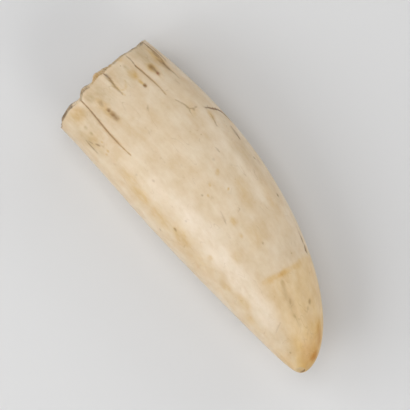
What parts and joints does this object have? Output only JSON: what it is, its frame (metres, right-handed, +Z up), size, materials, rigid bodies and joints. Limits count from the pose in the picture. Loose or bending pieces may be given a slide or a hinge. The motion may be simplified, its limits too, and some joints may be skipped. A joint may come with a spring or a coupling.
{
  "type": "whale tooth",
  "caption": "Polished sperm whale tooth with bare sides, a broken, flaking root, an open pulp hollow and a chipped tip, lying on its side.",
  "frame": {"origin": "on the table, below the middle of the tooth's bounding box", "axes": "+X from the root to the tip, +Y to the side of the outer bend, +Z up from the flat spot on the underside"},
  "size_m": [0.1668, 0.0668, 0.0451],
  "materials": {
    "ivory": "tooth ivory, hand-polished to a soft sheen, cream with ochre and brown stains, dark cracks and a grey-brown broken edge"
  },
  "bodies": {
    "root": {"whale_tooth": "ivory"}
  },
  "joints": []
}
